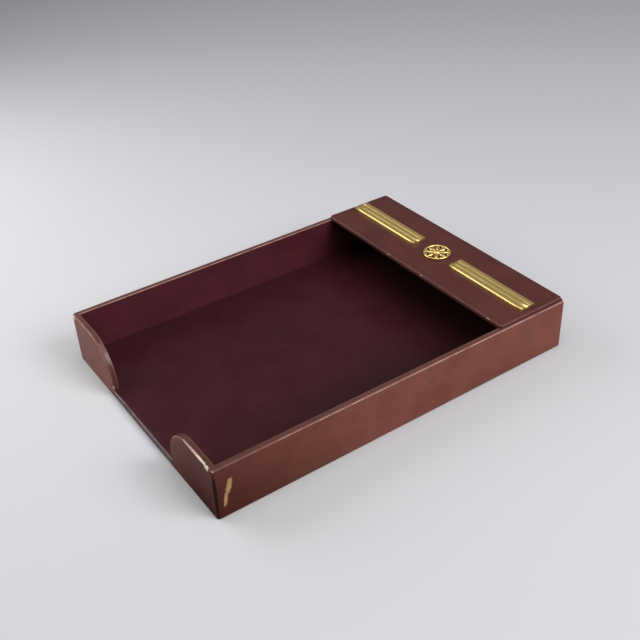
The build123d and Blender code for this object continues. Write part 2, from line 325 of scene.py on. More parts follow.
def side_line(inset, radius, along=90, round_steps=8, end_steps=3):
    """Plan points of the right wall, from the front seam round both corners to the back seam."""
    x, y = OUTER_X - inset, OUTER_Y - inset
    bend = max(radius - inset, 0.0)
    seam = min(INNER_X, x)
    quarter = []
    for angle in spread(0, pi / 2, round_steps):
        nx, ny = sin(angle), cos(angle)
        quarter.append((x - bend * (1 - nx), y - bend * (1 - ny), nx, ny))
    half = [(sx, y, 0, 1) for sx in spread(seam, x - bend, end_steps)[:-1]] + quarter
    front = [(px, -py, nx, -ny) for px, py, nx, ny in half]
    middle = [(x, py, 1, 0) for py in spread(-(y - bend), y - bend, along)[1:-1]]
    return front + middle + half[::-1]


def side_rows(sizes, depth, side):
    """Rows of the side leather's outer or inner surface."""
    rows = []
    for inset, height, out, up, _ in wall_chain(sizes, depth):
        row = []
        for x, y, nx, ny in side_line(inset, sizes.corner_radius):
            slack = 0.0 if depth else wander((x, y, height), sizes.waviness)
            point = Vector((x - nx * out * slack, y - ny * out * slack, height - up * slack))
            row.append(Vector((side * point.x, point.y, point.z)))
        rows.append(row)
    return rows


def back_rows(sizes, depth, along=64):
    """Rows of the back leather between the seams of the side leathers."""
    rows = []
    for inset, height, out, up, _ in wall_chain(sizes, depth):
        reach = min(INNER_X, OUTER_X - inset)
        row = []
        for x in spread(-reach, reach, along):
            slack = 0.0 if depth else wander((x, OUTER_Y, height), sizes.waviness)
            row.append(Vector((x, OUTER_Y - inset - out * slack, height - up * slack)))
        rows.append(row)
    return rows


def return_outline(sizes, flat_steps=14, round_steps=30, end_steps=5):
    """Edge of the right return from the wall to its free end: (x, z, inward x, inward z)."""
    radius = sizes.return_radius
    centre_x, centre_z = RETURN_END + radius, WALL_TOP - radius
    outline = [(x, WALL_TOP, 0, -1) for x in spread(INNER_X, centre_x, flat_steps)[:-1]]
    for angle in spread(pi / 2, pi, round_steps):
        across, up = cos(angle), sin(angle)
        outline.append((centre_x + radius * across, centre_z + radius * up, -across, -up))
    outline += [(RETURN_END, z, 1, 0) for z in spread(centre_z, BASE_TOP, end_steps)[1:]]
    return outline


def return_rows(sizes, depth, side):
    """Rows of the return's leather, with their rims: hem, front face, rounded edge and top."""
    outline = return_outline(sizes)
    last = len(outline) - 1
    low, front = HEM_LOW + depth, OUTER_Y - depth
    hem_radius = max(sizes.hem_edge - depth, LEAST_FOLD)
    edge = sizes.return_edge - depth
    lip = INNER_Y + sizes.inner_edge

    def below(i, inset):
        wall_end = min(INNER_X, OUTER_X - inset)
        return wall_end + (RETURN_END - wall_end) * i / last

    def foot(inset, z):
        return [(below(i, inset), -(OUTER_Y - inset), z) for i in range(last + 1)]

    def rim_row(m, y):
        return [(x + m * nx, -y, z + m * nz) for x, z, nx, nz in outline]

    rows, rims = [], []
    for inset in spread(HEM_WIDTH, depth + hem_radius, 5)[:-1]:
        rows.append(foot(inset, low))
        rims.append(0.0)
    for angle in spread(0, pi / 2, 5):
        rows.append(foot(depth + hem_radius * (1 - sin(angle)), low + hem_radius * (1 - cos(angle))))
        rims.append(HEM_WEAR)
    start = [Vector(p) for p in foot(depth, low + hem_radius)]
    finish = [Vector(p) for p in rim_row(depth + edge, front)]
    for share in spread(0, 1, 14)[1:]:
        rows.append([a.lerp(b, share) for a, b in zip(start, finish)])
        rims.append(0.0)
    for angle in spread(0, pi / 2, 8)[1:]:
        rows.append(rim_row(depth + edge * (1 - sin(angle)), front - edge * (1 - cos(angle))))
        rims.append(crown(angle))
    for y in spread(front - edge, lip, 5)[1:]:
        rows.append(rim_row(depth, y))
        rims.append(TOP_DARKENING)
    if depth:
        for y in spread(lip, INNER_Y + SLIVER, 6)[1:]:
            rows.append(rim_row(depth, y))
            rims.append(0.0)
    else:
        for angle in spread(0, pi / 2, 5)[1:]:
            rows.append(rim_row(sizes.inner_edge * (1 - cos(angle)), lip - sizes.inner_edge * sin(angle)))
            rims.append(FULL_WEAR_AND_HIGHLIGHT)
        rows.append(rim_row(LEATHER, INNER_Y))
        rims.append(FULL_WEAR_AND_HIGHLIGHT)
    placed = [[Vector((side * p[0], p[1], p[2])) for p in row] for row in rows]
    return placed, rims


def bar_section(sizes, reeds=3, steps=18):
    """Section of a bar from its front foot over the reeds to its back foot: (across, height, groove)."""
    half = (BAR_HIGH[1] - BAR_LOW[1]) / 2
    top = BAR_HIGH[2] - DECK_TOP
    side_top = 0.8 * (top - sizes.bar_shoulder)
    reed = 2 * half / reeds
    roundness, slit_start = 2.3, 0.76
    points = [(-half, 0.0, 0.4), (-half, side_top, 0.2)]
    for number in range(reeds):
        middle = -half + (number + 0.5) * reed
        for share in spread(-0.97, 0.97, steps):
            outside = (number == 0 and share < 0) or (number == reeds - 1 and share > 0)
            if outside:
                drop = sizes.bar_shoulder * (1 - (1 - abs(share) ** roundness) ** 0.5)
            else:
                drop = sizes.reed_rise * share * share
            groove = 0.0 if outside else max(0.0, abs(share) - slit_start) / (1 - slit_start)
            points.append((middle + share * reed / 2, top - drop, groove))
        if number + 1 < reeds:
            points.append((middle + reed / 2, top - sizes.reed_rise - sizes.groove_depth, 1.0))
    points += [(half, side_top, 0.2), (half, 0.0, 0.4)]
    return points


# Node trees

def set_inputs(tree, node, inputs):
    """Links a node's inputs to sockets, or sets them to values."""
    for key, value in inputs.items():
        socket = node.inputs[key]
        if isinstance(value, bpy.types.NodeSocket):
            tree.links.new(value, socket)
        else:
            socket.default_value = value


def add_node(tree, kind, inputs=None, **settings):
    """A node with its settings and inputs."""
    made = tree.nodes.new(kind)
    for key, value in settings.items():
        setattr(made, key, value)
    set_inputs(tree, made, inputs or {})
    return made


def shader_group(name, inputs, outputs):
    """A shader group that reads a Position and the named inputs, given with their defaults."""
    tree = bpy.data.node_groups.new(name, "ShaderNodeTree")
    tree.interface.new_socket("Position", in_out="INPUT", socket_type="NodeSocketVector")
    for label, default in inputs.items():
        kind = "NodeSocketVector" if isinstance(default, tuple) else "NodeSocketFloat"
        tree.interface.new_socket(label, in_out="INPUT", socket_type=kind).default_value = default
    for label in outputs:
        tree.interface.new_socket(label, in_out="OUTPUT", socket_type="NodeSocketFloat")
    return tree, tree.nodes.new("NodeGroupInput").outputs, tree.nodes.new("NodeGroupOutput").inputs


def maths(tree, operation, first, second=0.0, clamp=False):
    """The result of one sum on values or sockets."""
    made = add_node(tree, "ShaderNodeMath", {0: first, 1: second}, operation=operation)
    made.use_clamp = clamp
    return made.outputs[0]


def remap(tree, value, low, high, to_low=0.0, to_high=1.0):
    """value carried smoothly from one range to another."""
    inputs = {"Value": value, "From Min": low, "From Max": high, "To Min": to_low, "To Max": to_high}
    return add_node(tree, "ShaderNodeMapRange", inputs, interpolation_type="SMOOTHSTEP").outputs["Result"]


def blend_colour(tree, mask, first, second):
    """The first colour, giving way to the second where the mask is one."""
    inputs = {"Factor": mask, 6: first, 7: second}
    return add_node(tree, "ShaderNodeMix", inputs, data_type="RGBA").outputs[2]


def speckle(tree, place, scale, detail, roughness=0.5, distortion=0.0):
    """Values of a noise texture."""
    inputs = {"Vector": place, "Scale": scale, "Detail": detail, "Roughness": roughness}
    inputs["Distortion"] = distortion
    return add_node(tree, "ShaderNodeTexNoise", inputs).outputs[0]


def bumped(tree, height, strength, distance):
    """A normal raised by a height."""
    inputs = {"Strength": strength, "Distance": distance, "Height": height}
    return add_node(tree, "ShaderNodeBump", inputs).outputs[0]


def leather_grain_group(name):
    """Pores, creases and slow mottling of dressed hide."""
    sizes = {"Cell Size": 0.0007, "Mottle Size": 0.03}
    tree, given, out = shader_group(name, sizes, ("Height", "Mottle", "Streak"))
    place = given["Position"]
    cells = maths(tree, "DIVIDE", 1.0, given["Cell Size"])
    slow = maths(tree, "DIVIDE", 1.0, given["Mottle Size"])
    quick = maths(tree, "MULTIPLY", slow, 5.0)
    inputs = {"Vector": place, "Scale": cells}
    pebbles = add_node(tree, "ShaderNodeTexVoronoi", inputs, feature="SMOOTH_F1").outputs["Distance"]
    pitted = maths(tree, "ADD", pebbles, speckle(tree, place, cells, detail=4.0, roughness=0.6))
    mottle = speckle(tree, place, slow, detail=5.0, roughness=0.55)
    streak = speckle(tree, place, quick, detail=3.0, distortion=1.2)
    tree.links.new(maths(tree, "MULTIPLY", pitted, 0.5), out["Height"])
    tree.links.new(remap(tree, mottle, 0.3, 0.7), out["Mottle"])
    tree.links.new(remap(tree, streak, 0.35, 0.7), out["Streak"])
    return tree


def edge_rub_group(name):
    """Where an edge has lost its dye: patchy along the rim, widening with the amount."""
    tree, given, out = shader_group(name, {"Rim": 0.0, "Amount": 0.3, "Patch Size": 0.012}, ("Mask",))
    scale = maths(tree, "DIVIDE", 1.0, given["Patch Size"])
    patches = speckle(tree, given["Position"], scale, detail=6.0, roughness=0.7)
    reach = maths(tree, "MULTIPLY", given["Rim"], patches)
    limit = maths(tree, "SUBTRACT", 0.78, maths(tree, "MULTIPLY", given["Amount"], 0.6))
    over = maths(tree, "SUBTRACT", reach, limit)
    tree.links.new(maths(tree, "MULTIPLY", over, 9.0, clamp=True), out["Mask"])
    return tree


def fold_line_group(name):
    """A thin uneven line along the crown of a fold, partly leather polished through and partly a painted
    highlight.
    """
    tree, given, out = shader_group(name, {"Rim": 0.0, "Amount": 0.4}, ("Mask",))
    uneven = speckle(tree, given["Position"], scale=90.0, detail=5.0, roughness=0.65)
    ridge = remap(tree, given["Rim"], 0.72, 0.98)
    strength = remap(tree, uneven, 0.30, 0.66, 0.25, 1.0)
    both = maths(tree, "MULTIPLY", ridge, strength)
    tree.links.new(maths(tree, "MULTIPLY", both, given["Amount"], clamp=True), out["Mask"])
    return tree


def ragged_patch_group(name):
    """One ragged patch, used for scuffs, painted shade and painted highlights: an ellipsoid with a torn
    outline.
    """
    inputs = {"Centre": (0, 0, 0), "Turn": (0, 0, 0), "Half Size": (0.001, 0.001, 0.001)}
    inputs.update({"Ragged": 0.5, "Core": 0.8})
    tree, given, out = shader_group(name, inputs, ("Mask",))

    def vectors(operation, *values):
        return add_node(tree, "ShaderNodeVectorMath", dict(enumerate(values)), operation=operation).outputs

    offset = vectors("SUBTRACT", given["Position"], given["Centre"])[0]
    inputs = {"Vector": offset, "Rotation": given["Turn"]}
    turned = add_node(tree, "ShaderNodeVectorRotate", inputs, rotation_type="EULER_XYZ").outputs[0]
    share = vectors("DIVIDE", turned, given["Half Size"])[0]
    far = vectors("LENGTH", share)["Value"]
    torn = speckle(tree, given["Position"], scale=420.0, detail=6.0, roughness=0.8)
    shift = maths(tree, "MULTIPLY", maths(tree, "SUBTRACT", torn, 0.5), given["Ragged"])
    edge = maths(tree, "ADD", far, maths(tree, "MULTIPLY", shift, 2.0))
    tree.links.new(remap(tree, edge, 1.05, given["Core"]), out["Mask"])
    return tree


def fibre_group(name):
    """Short matted fibres, for felt, cloth, board and paper."""
    tree, given, out = shader_group(name, {"Fibre Size": 0.0008}, ("Height", "Tone"))
    scale = maths(tree, "DIVIDE", 1.0, given["Fibre Size"])
    matted = speckle(tree, given["Position"], scale, detail=6.0, roughness=0.75, distortion=2.0)
    slow = maths(tree, "MULTIPLY", scale, 0.03)
    tone = speckle(tree, given["Position"], slow, detail=4.0)
    both = maths(tree, "MULTIPLY", maths(tree, "ADD", matted, tone), 0.5)
    tree.links.new(matted, out["Height"])
    tree.links.new(both, out["Tone"])
    return tree


def group_node(tree, name, **inputs):
    """A placed node group, built the first time that it is asked for."""
    makers = {
        "Leather Grain": leather_grain_group,
        "Edge Rub": edge_rub_group,
        "Fold Line": fold_line_group,
        "Ragged Patch": ragged_patch_group,
        "Fibres": fibre_group,
    }
    made = tree.nodes.new("ShaderNodeGroup")
    made.node_tree = bpy.data.node_groups.get(name) or makers[name](name)
    set_inputs(tree, made, {key.replace("_", " "): value for key, value in inputs.items()})
    return made.outputs


def new_material(name):
    """An empty node material with a Principled shader: (material, tree, shader, position socket)."""
    material = bpy.data.materials.new(name)
    material.use_nodes = True
    tree = material.node_tree
    tree.nodes.clear()
    shader = tree.nodes.new("ShaderNodeBsdfPrincipled")
    output = tree.nodes.new("ShaderNodeOutputMaterial")
    tree.links.new(shader.outputs[0], output.inputs["Surface"])
    position = tree.nodes.new("ShaderNodeTexCoord").outputs["Object"]
    return material, tree, shader, position


def shaded(colour, factor):
    """A colour made lighter or darker."""
    return (*[min(1.0, part * factor) for part in colour[:3]], 1.0)


def leather_material(
    name, colour, colours, gloss=(0.30, 0.40), rub=0.10, edge_wear_and_highlight=0.4, shine=0.18, marks=()
):
    """Dressed hide with mottled dye, grain, darker tops, painted shade in the tooled groove, rubbed rims
    with a painted highlight line, and marks of wear, painted shade and painted highlights: (tone, place).
    """
    material, tree, shader, position = new_material(name)
    grain = group_node(tree, "Leather Grain", Position=position)
    dye = blend_colour(tree, grain["Mottle"], shaded(colour, 0.88), shaded(colour, 1.12))
    streak = maths(tree, "MULTIPLY", grain["Streak"], 0.22)
    # From here the running colour gathers wear, painted shade and painted highlights
    worn = blend_colour(tree, streak, dye, shaded(colour, 0.66))
    rim = add_node(tree, "ShaderNodeAttribute", attribute_name="rim").outputs["Fac"]
    # Below nought the rim draws the tops darker and paints shade in the deck's tooled groove
    crease = maths(tree, "MULTIPLY", rim, -1.0, clamp=True)
    worn = blend_colour(tree, crease, worn, colours.dark_tone_and_shade)
    # The fold line paints a highlight along fold crowns as well as wear
    fold = group_node(tree, "Fold Line", Position=position, Rim=rim, Amount=edge_wear_and_highlight)["Mask"]
    worn = blend_colour(tree, fold, worn, colours.edge)
    bare = group_node(tree, "Edge Rub", Position=position, Rim=rim, Amount=rub)["Mask"]
    worn = blend_colour(tree, maths(tree, "MULTIPLY", bare, 0.8), worn, colours.rubbed)
    # Marks paint wear, painted shade and painted highlights; all but the darkest tone also roughen the
    # leather
    for tone, place in marks:
        hit = group_node(tree, "Ragged Patch", Position=position, **place)["Mask"]
        worn = blend_colour(tree, hit, worn, getattr(colours, tone))
        if tone != "dark_tone_and_shade":
            bare = maths(tree, "MAXIMUM", bare, hit)
    sheen = remap(tree, grain["Mottle"], 0.0, 1.0, gloss[0], gloss[1])
    height = maths(tree, "SUBTRACT", grain["Height"], maths(tree, "MULTIPLY", bare, 0.8))
    swell = {"Strength": 0.15, "Distance": 0.0004, "Height": grain["Mottle"]}
    swell["Normal"] = bumped(tree, height, strength=0.30, distance=0.00005)
    set_inputs(tree, shader, {
        "Base Color": worn,
        "Roughness": maths(tree, "ADD", sheen, maths(tree, "MULTIPLY", bare, 0.28), clamp=True),
        "Specular IOR Level": remap(tree, crease, 0.0, 0.4, shine, 0.42),
        "Normal": add_node(tree, "ShaderNodeBump", swell).outputs[0],
    })
    return material


def brass_material(colours):
    """Polished brass with drawn lines, patchy gloss and tarnish in the grooves."""
    if "polished_brass" in bpy.data.materials:
        return bpy.data.materials["polished_brass"]
    material, tree, shader, position = new_material("polished_brass")
    groove = add_node(tree, "ShaderNodeAttribute", attribute_name="rim").outputs["Fac"]
    drawn = add_node(tree, "ShaderNodeMapping", {"Vector": position, "Scale": (60.0, 2600.0, 2600.0)})
    lines = speckle(tree, drawn.outputs[0], scale=1.0, detail=3.0)
    patches = remap(tree, speckle(tree, position, scale=130.0, detail=5.0), 0.35, 0.75)
    tone = blend_colour(tree, patches, shaded(colours.brass, 1.06), shaded(colours.brass, 0.84))
    rough = remap(tree, lines, 0.3, 0.7, 0.36, 0.46)
    rough = maths(tree, "ADD", rough, maths(tree, "MULTIPLY", patches, 0.06))
    set_inputs(tree, shader, {
        "Base Color": blend_colour(tree, maths(tree, "MULTIPLY", groove, 0.9), tone, colours.tarnish),
        "Roughness": maths(tree, "ADD", rough, maths(tree, "MULTIPLY", groove, 0.25), clamp=True),
        "Normal": bumped(tree, lines, strength=0.12, distance=0.00004),
        "Metallic": 1.0,
    })
    return material


def fibre_material(name, colour, fibre_size, depth, roughness, sheen=0.0):
    """Matted fibres: felt, cloth or fibreboard."""
    material, tree, shader, position = new_material(name)
    fibres = group_node(tree, "Fibres", Position=position, Fibre_Size=fibre_size)
    tone = remap(tree, fibres["Tone"], 0.35, 0.65)
    set_inputs(tree, shader, {
        "Base Color": blend_colour(tree, tone, shaded(colour, 0.7), shaded(colour, 1.3)),
        "Roughness": remap(tree, fibres["Height"], 0.3, 0.7, roughness - 0.08, roughness),
        "Normal": bumped(tree, fibres["Height"], strength=0.6, distance=depth),
        "Sheen Weight": sheen,
        "Specular IOR Level": 0.25,
    })
    return material


def paper_material(colour):
    """Plain matte studio paper with a barely uneven tone."""
    material, tree, shader, position = new_material("studio_paper")
    height = group_node(tree, "Fibres", Position=position, Fibre_Size=0.002)["Height"]
    set_inputs(tree, shader, {
        "Base Color": blend_colour(tree, height, shaded(colour, 0.985), shaded(colour, 1.015)),
        "Roughness": remap(tree, height, 0.3, 0.7, 0.88, 0.94),
        "Specular IOR Level": 0.15,
    })
    return material


def steel_material(name, colour, roughness):
    """Drawn steel with fine lines and a little colour change."""
    material, tree, shader, position = new_material(name)
    lines = speckle(tree, position, scale=2500.0, detail=3.0)
    set_inputs(tree, shader, {
        "Base Color": blend_colour(tree, lines, shaded(colour, 0.85), shaded(colour, 1.1)),
        "Roughness": remap(tree, lines, 0.3, 0.7, roughness, roughness + 0.12),
        "Metallic": 1.0,
    })
    return material


def dress(name, material):
    """Gives a CAD node its material."""
    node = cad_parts[name]
    node.data.materials.clear()
    node.data.materials.append(material)


def settle(piece, material, slot, *nodes):
    """Gives a new piece its material, its body and the nodes that it stands for; the slot is not used."""
    piece.data.materials.clear()
    piece.data.materials.append(material)
    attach(piece, "root")
    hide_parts(*nodes)


# Wear, painted shade and painted highlights that lie where the photograph shows them, in metres

def mark(centre, half_size, ragged=0.5, turn=(0, 0, 0), core=0.8):
    """Inputs of one ragged patch of wear, painted shade or painted highlight; a small core makes its edge
    soft.
    """
    return {"Centre": centre, "Half_Size": half_size, "Ragged": ragged, "Turn": turn, "Core": core}


FRONT_LEFT_CHIP = ("bared_and_highlight", mark((-0.1205, -0.1749, 0.0455), (0.0021, 0.0015, 0.0023), ragged=0.5))
SIDE_MARKS = [
    # Painted shade, darker towards the front right corner and the bottom
    ("painted_shade", mark((0.125, -0.190, -0.010), (0.03, 0.16, 0.12), ragged=0.15, core=0.0)),
    # Painted reflection and shade down the rounded front right corner
    ("dark_tone_and_shade", mark((0.1245, -0.1745, 0.0225), (0.0018, 0.0018, 0.0245), ragged=0.12)),
    ("rubbed", mark((0.125, -0.1630, 0.0283), (0.002, 0.0024, 0.0078), ragged=1.1, turn=(0.26, 0, 0))),
    ("rubbed", mark((0.125, -0.1666, 0.0178), (0.002, 0.0016, 0.0070), ragged=1.2, turn=(0.18, 0, 0))),
    ("edge", mark((0.1243, -0.1742, 0.0472), (0.0011, 0.0011, 0.0009), ragged=0.8)),
    # Painted highlight on the back right top corner
    ("bared_and_highlight", mark((0.1243, 0.1742, 0.0474), (0.0016, 0.0016, 0.0016), ragged=0.6)),
    FRONT_LEFT_CHIP,
    ("edge", mark((-0.1246, -0.1747, 0.0474), (0.0018, 0.0014, 0.0014), ragged=0.8)),
]
RETURN_MARKS = [
    FRONT_LEFT_CHIP,
    # Painted shade, darker towards the bottom of the right return's front and the front right corner
    ("painted_shade", mark((0.115, -0.175, -0.005), (0.11, 0.02, 0.10), ragged=0.15, core=0.0)),
    ("edge", mark((0.1010, -0.1744, 0.0473), (0.0200, 0.0012, 0.0010), ragged=0.7)),
    ("bared_and_highlight", mark((0.1080, -0.1746, 0.0473), (0.0100, 0.0011, 0.0009), ragged=1.0)),
    ("bared_and_highlight", mark((0.1175, -0.1748, 0.0463), (0.0040, 0.0013, 0.0021), ragged=0.8)),
    ("edge", mark((-0.0538, -0.1745, 0.0094), (0.0009, 0.0014, 0.0019), ragged=0.7)),
]
FLOOR_MARKS = [
    # Painted shadow of the right wall on the floor
    ("dark_tone_and_shade", mark((0.119, 0.02, 0.007), (0.11, 0.26, 0.03), ragged=0.1, core=0.0)),
    # Painted shade on the floor under the deck
    ("dark_tone_and_shade", mark((0.02, 0.14, 0.007), (0.16, 0.09, 0.03), ragged=0.1, core=0.0)),
]
# Painted shade on the right wall's lining
LINING_MARKS = [("dark_tone_and_shade", mark((0.119, 0.0, 0.0), (0.03, 0.30, 0.09), ragged=0.1, core=0.0))]
# Pale spots on the deck's front edge, partly wear and partly painted highlights
DECK_MARKS = [
    ("rubbed", mark((x, DECK_FRONT + 0.0004, 0.0502), (0.0022, 0.0008, 0.0006), ragged=1.0))
    for x in (-0.028, 0.020, 0.107)
]
# Painted highlight on the deck's front left corner
DECK_MARKS.append(
    ("bared_and_highlight", mark((-0.1224, DECK_FRONT + 0.0006, 0.0502), (0.0016, 0.0014, 0.0014), ragged=0.7))
)

# Section of the deck's tooled line, with painted shade in its groove and a painted highlight along its
# inner lip: (place in half widths, share of its depth, rim value)
TOOLED_LINE = (
    (-3.2, 0.30, 0.0),
    (-2.2, 0.10, 0.0),
    (-1.4, 0.0, 0.0),
    (-0.9, 0.2, 0.0),
    # Painted shade in the groove
    (-0.35, 1.0, LINE_SHADE),
    (0.35, 1.0, LINE_SHADE),
    (0.9, 0.2, 0.0),
    # Painted highlight along the inner lip
    (1.4, 0.0, 0.9),
    (2.2, 0.05, 0.6),
    (3.2, 0.15, 0.0),
)


# Pieces of leather

class TRAY_OT_side_leathers(bpy.types.Operator):
    """Leather of both side walls, wrapped round the corners, over the top and under the base"""

    bl_idname = "tray.side_leathers"
    bl_label = "Side Leathers"
    bl_options = {"REGISTER", "UNDO"}

    def execute(self, context):
        sizes = context.scene.tray_sizes
        colours = context.scene.tray_colours
        material = leather_material(
            "side_leather", colours.wall, colours, edge_wear_and_highlight=0.75, shine=0.06, marks=SIDE_MARKS
        )
        rims = [part[4] for part in wall_chain(sizes, 0.0)]
        for side, name in ((1, "right_side_leather"), (-1, "left_side_leather")):
            mesh_data = open_mesh()
            add_shell(mesh_data, side_rows(sizes, 0.0, side), side_rows(sizes, LEATHER, side), rims)
            settle(finish_mesh(f"{name}_cover", mesh_data), material, "wall_leather", name)
        return {"FINISHED"}


class TRAY_OT_back_leather(bpy.types.Operator):
    """Leather of the back wall, between the seams of the side leathers"""

    bl_idname = "tray.back_leather"
    bl_label = "Back Leather"
    bl_options = {"REGISTER", "UNDO"}

    def execute(self, context):
        sizes = context.scene.tray_sizes
        colours = context.scene.tray_colours
        rims = [part[4] for part in wall_chain(sizes, 0.0)]
        mesh_data = open_mesh()
        add_shell(mesh_data, back_rows(sizes, 0.0), back_rows(sizes, LEATHER), rims)
        material = leather_material("back_wall_leather", colours.wall, colours, shine=0.06)
        settle(finish_mesh("back_leather_cover", mesh_data), material, "wall_leather", "back_leather")
        return {"FINISHED"}


class TRAY_OT_return_leathers(bpy.types.Operator):
    """Leather of both front returns, turned over their quarter-round tops"""

    bl_idname = "tray.return_leathers"
    bl_label = "Return Leathers"
    bl_options = {"REGISTER", "UNDO"}

    def execute(self, context):
        sizes = context.scene.tray_sizes
        colours = context.scene.tray_colours
        material = leather_material(
            "return_leather",
            colours.wall,
            colours,
            gloss=(0.20, 0.30),
            rub=0.12,
            edge_wear_and_highlight=0.6,
            shine=0.03,
            marks=RETURN_MARKS,
        )
        for side, name in ((1, "right_return_leather"), (-1, "left_return_leather")):
            outer, rims = return_rows(sizes, 0.0, side)
            inner, _ = return_rows(sizes, LEATHER, side)
            mesh_data = open_mesh()
            add_shell(mesh_data, outer, inner, rims)
            settle(finish_mesh(f"{name}_cover", mesh_data), material, "wall_leather", name)
        return {"FINISHED"}


class TRAY_OT_wall_linings(bpy.types.Operator):
    """Finish of the linings inside the walls and under the deck"""

    bl_idname = "tray.wall_linings"
    bl_label = "Wall Linings"
    bl_options = {"REGISTER", "UNDO"}

    def execute(self, context):
        colours = context.scene.tray_colours
        material = leather_material(
            "wall_lining_leather", colours.lining, colours, gloss=(0.28, 0.36), rub=0.0, marks=LINING_MARKS
        )
        for wall in ("left_side", "right_side", "back", "left_return", "right_return"):
            dress(f"{wall}_lining", material)
        cloth = fibre_material(
            "deck_lining_cloth", colours.cloth, fibre_size=0.0005, depth=0.00008, roughness=0.9, sheen=0.2
        )
        dress("deck_lining", cloth)
        return {"FINISHED"}


def floor_front_rows(sizes, depth, along=72):
    """Rows of the floor leather between the returns, over the front edge and under the base."""
    top = FLOOR_TOP - depth
    low, front = HEM_LOW + depth, OUTER_Y - depth
    edge = max(sizes.floor_edge - depth, 2 * LEAST_FOLD)
    hem_radius = max(sizes.hem_edge - depth, LEAST_FOLD)
    chain = [(y, top, 0.0) for y in spread(INNER_Y, front - edge, 4)[:-1]]
    for angle in spread(0, pi / 2, 7):
        chain.append((front - edge * (1 - sin(angle)), top - edge * (1 - cos(angle)), ridge(angle)))
    chain += [(front, z, 0.0) for z in spread(top - edge, low + hem_radius, 6)[1:-1]]
    for angle in spread(0, pi / 2, 5):
        inset, height = hem_radius * (1 - cos(angle)), low + hem_radius * (1 - sin(angle))
        chain.append((front - inset, height, FLOOR_HEM_WEAR))
    chain += [(y, low, 0.0) for y in spread(front - hem_radius, OUTER_Y - HEM_WIDTH, 5)[1:]]
    rows = []
    for y, z, rim in chain:
        row = []
        for x in spread(-RETURN_END, RETURN_END, along):
            nibble = 0.0 if depth else wander((x, 0, 0), NIBBLE_DEPTH * rim, NIBBLE_LENGTH)
            row.append(Vector((x, -y + nibble, z - nibble if z > BASE_TOP else z)))
        rows.append(row)
    return rows, [rim for _, _, rim in chain]


class TRAY_OT_floor_leather(bpy.types.Operator):
    """Leather on the floor, turned down over the worn front edge of the base"""

    bl_idname = "tray.floor_leather"
    bl_label = "Floor Leather"
    bl_options = {"REGISTER", "UNDO"}

    def execute(self, context):
        sizes = context.scene.tray_sizes
        colours = context.scene.tray_colours
        mesh_data = open_mesh()
        add_slab(mesh_data, (-INNER_X, -INNER_Y, BASE_TOP), (INNER_X, INNER_Y, FLOOR_TOP))
        outer, rims = floor_front_rows(sizes, 0.0)
        inner, _ = floor_front_rows(sizes, LEATHER)
        add_shell(mesh_data, outer, inner, rims)
        material = leather_material(
            "floor_leather",
            colours.floor,
            colours,
            gloss=(0.28, 0.34),
            rub=0.55,
            edge_wear_and_highlight=0.55,
            marks=FLOOR_MARKS,
        )
        settle(finish_mesh("floor_leather_sheet", mesh_data), material, "floor_skin", "floor_lining")
        return {"FINISHED"}


def deck_profile(sizes):
    """Section of the deck leather, from under its edge to the deck's middle: (inset, height, rim)."""
    crease, half_line = sizes.crease_inset, sizes.crease_width / 2
    middle = DECK_HALF_Y - SPINE_HALF_WIDTH
    profile = [
        (middle, BOARD_TOP, 0.0),
        (LEATHER, BOARD_TOP, 0.0),
        (LEATHER, WALL_TOP, 0.0),
        (0.0, WALL_TOP, 0.1),
    ]
    for angle in spread(0, pi / 2, 8):
        inset = sizes.deck_edge * (1 - cos(angle))
        height = DECK_TOP - sizes.deck_edge * (1 - sin(angle))
        profile.append((inset, height, ridge(angle)))
    for shift, share, rim in TOOLED_LINE:
        profile.append((crease + shift * half_line, DECK_TOP - share * sizes.crease_depth, rim))
    sunk = profile[-1][1]
    profile += [(inset, sunk, 0.0) for inset in spread(crease + PANEL_INSET, middle, 9)]
    return profile


class TRAY_OT_deck_leather(bpy.types.Operator):
    """Leather of the deck, with rounded edges and a tooled line"""

    bl_idname = "tray.deck_leather"
    bl_label = "Deck Leather"
    bl_options = {"REGISTER", "UNDO"}

    def execute(self, context):
        sizes = context.scene.tray_sizes
        colours = context.scene.tray_colours
        rings, rims = [], []
        for inset, height, rim in deck_profile(sizes):
            half_x, half_y, radius = DECK_X - inset, DECK_HALF_Y - inset, sizes.deck_corner - inset
            ring = rounded_ring((0, DECK_MID_Y), half_x, half_y, radius, height)
            for point in ring:
                if height > BOARD_TOP:
                    point.z -= wander(point, sizes.waviness)
            rings.append(ring)
            rims.append(rim)
        mesh_data = open_mesh()
        add_rings(mesh_data, rings, rims)
        turn_x = INNER_X - DECK_CLEARANCE
        low, high = (-turn_x, DECK_FRONT, DECK_LOW[2]), (turn_x, DECK_FRONT + DECK_TURN_DEPTH, WALL_TOP)
        add_slab(mesh_data, low, high, DECK_TURN_BEVEL)
        material = leather_material(
            "deck_top_leather", colours.deck, colours, edge_wear_and_highlight=0.15, shine=0.12, marks=DECK_MARKS
        )
        settle(finish_mesh("deck_leather_cover", mesh_data), material, "deck_skin", "deck_leather")
        return {"FINISHED"}


# Pieces of brass

